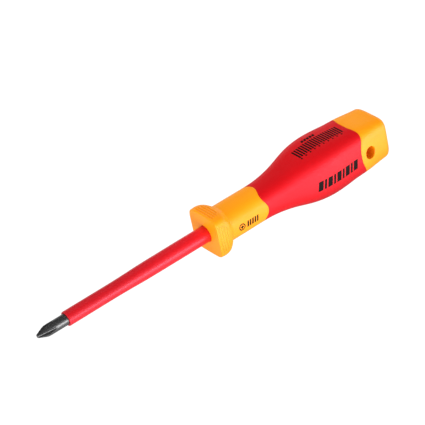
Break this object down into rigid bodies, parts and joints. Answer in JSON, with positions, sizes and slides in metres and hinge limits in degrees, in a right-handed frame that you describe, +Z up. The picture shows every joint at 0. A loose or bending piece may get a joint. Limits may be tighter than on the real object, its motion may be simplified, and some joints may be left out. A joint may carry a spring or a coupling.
{
  "type": "insulated screwdriver",
  "caption": "Insulated cross-head screwdriver: sleeved steel blade, hard handle with square guard and hanging hole, and soft moulded grip.",
  "frame": {"origin": "bottom centre of the bounding box: half way along the tool's length, under its axis, at the height of the surface that the grip's widest part touches", "axes": "+X along the tool's axis from the tip to the butt, +Z up through the face that carries the bar mark, -Y out of the face that the hanging hole opens on; the axis is 14.17 mm above the origin"},
  "size_m": [0.2096, 0.0284, 0.0283],
  "materials": {
    "blade_steel": "black phosphated, satin",
    "sleeve_red": "smooth extruded nylon, satin gloss",
    "core_plastic": "as moulded",
    "handle_amber": "moulded polypropylene, fine satin",
    "grip_red": "overmoulded soft plastic, matt",
    "marking_ink": "thin printed ink"
  },
  "bodies": {
    "root": {"blade": "blade_steel", "blade_insulation": "sleeve_red", "inner_core": "core_plastic", "handle_body": "handle_amber", "soft_grip": "grip_red"}
  },
  "joints": []
}
